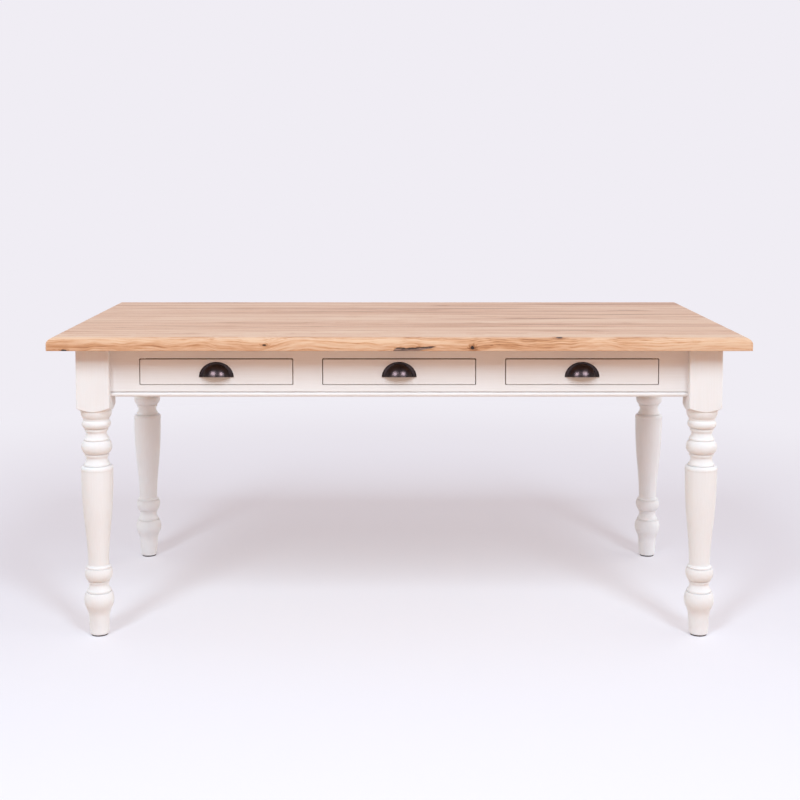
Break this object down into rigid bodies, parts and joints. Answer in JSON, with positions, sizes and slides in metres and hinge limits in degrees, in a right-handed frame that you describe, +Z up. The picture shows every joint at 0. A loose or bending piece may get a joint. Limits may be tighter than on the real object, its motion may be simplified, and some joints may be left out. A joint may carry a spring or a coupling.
{
  "type": "kitchen table with drawers",
  "caption": "Farmhouse kitchen table: round-edged solid oak top on a cream-painted frame with lathe-turned legs and a row of shallow inset drawers with half-moon cup pulls.",
  "frame": {"origin": "on the floor under the middle of the top", "axes": "+X along the table to the right as the drawers are seen, the drawer side faces -Y, +Z up"},
  "size_m": [1.75, 0.9, 0.78],
  "materials": {
    "oak_top": "clear matt oil over knotty oak",
    "cream_paint": "satin cream paint on wood",
    "drawer_box_wood": "clear lacquer on pale wood",
    "runner_wood": "bare wood",
    "pull_metal": "dark bronze, satin",
    "screw_steel": "plain steel",
    "glide_felt": "dark dull glide"
  },
  "bodies": {
    "frame": {"apron_back": "cream_paint", "apron_front": "cream_paint", "apron_left": "cream_paint", "apron_right": "cream_paint", "button_screws": "screw_steel", "drawer_bearer_1": "runner_wood", "drawer_bearer_2": "runner_wood", "drawer_bearer_3": "runner_wood", "drawer_bearer_4": "runner_wood", "drawer_guide_1": "runner_wood", "drawer_guide_2": "runner_wood", "drawer_guide_3": "runner_wood", "drawer_guide_4": "runner_wood", "drawer_kicker_left": "runner_wood", "drawer_kicker_middle": "runner_wood", "drawer_kicker_right": "runner_wood", "drawer_stops": "runner_wood", "leg_back_left": "cream_paint", "leg_back_right": "cream_paint", "leg_front_left": "cream_paint", "leg_front_right": "cream_paint", "leg_glide_back_left": "glide_felt", "leg_glide_back_right": "glide_felt", "leg_glide_front_left": "glide_felt", "leg_glide_front_right": "glide_felt", "top_board_1": "oak_top", "top_board_2": "oak_top", "top_board_3": "oak_top", "top_board_4": "oak_top", "top_board_5": "oak_top", "top_board_6": "oak_top", "top_board_7": "oak_top", "top_board_8": "oak_top", "top_buttons": "runner_wood"},
    "drawer_left": {"drawer_left_back": "drawer_box_wood", "drawer_left_bottom": "drawer_box_wood", "drawer_left_front": "cream_paint", "drawer_left_pull": "pull_metal", "drawer_left_pull_screws": "screw_steel", "drawer_left_side_left": "drawer_box_wood", "drawer_left_side_right": "drawer_box_wood"},
    "drawer_middle": {"drawer_middle_back": "drawer_box_wood", "drawer_middle_bottom": "drawer_box_wood", "drawer_middle_front": "cream_paint", "drawer_middle_pull": "pull_metal", "drawer_middle_pull_screws": "screw_steel", "drawer_middle_side_left": "drawer_box_wood", "drawer_middle_side_right": "drawer_box_wood"},
    "drawer_right": {"drawer_right_back": "drawer_box_wood", "drawer_right_bottom": "drawer_box_wood", "drawer_right_front": "cream_paint", "drawer_right_pull": "pull_metal", "drawer_right_pull_screws": "screw_steel", "drawer_right_side_left": "drawer_box_wood", "drawer_right_side_right": "drawer_box_wood"}
  },
  "joints": [
    {"name": "drawer_left_slide", "type": "slide", "parent": "frame", "child": "drawer_left", "axis": [0, -1, 0], "range_m": [0, 0.3]},
    {"name": "drawer_middle_slide", "type": "slide", "parent": "frame", "child": "drawer_middle", "axis": [0, -1, 0], "range_m": [0, 0.3]},
    {"name": "drawer_right_slide", "type": "slide", "parent": "frame", "child": "drawer_right", "axis": [0, -1, 0], "range_m": [0, 0.3]}
  ]
}
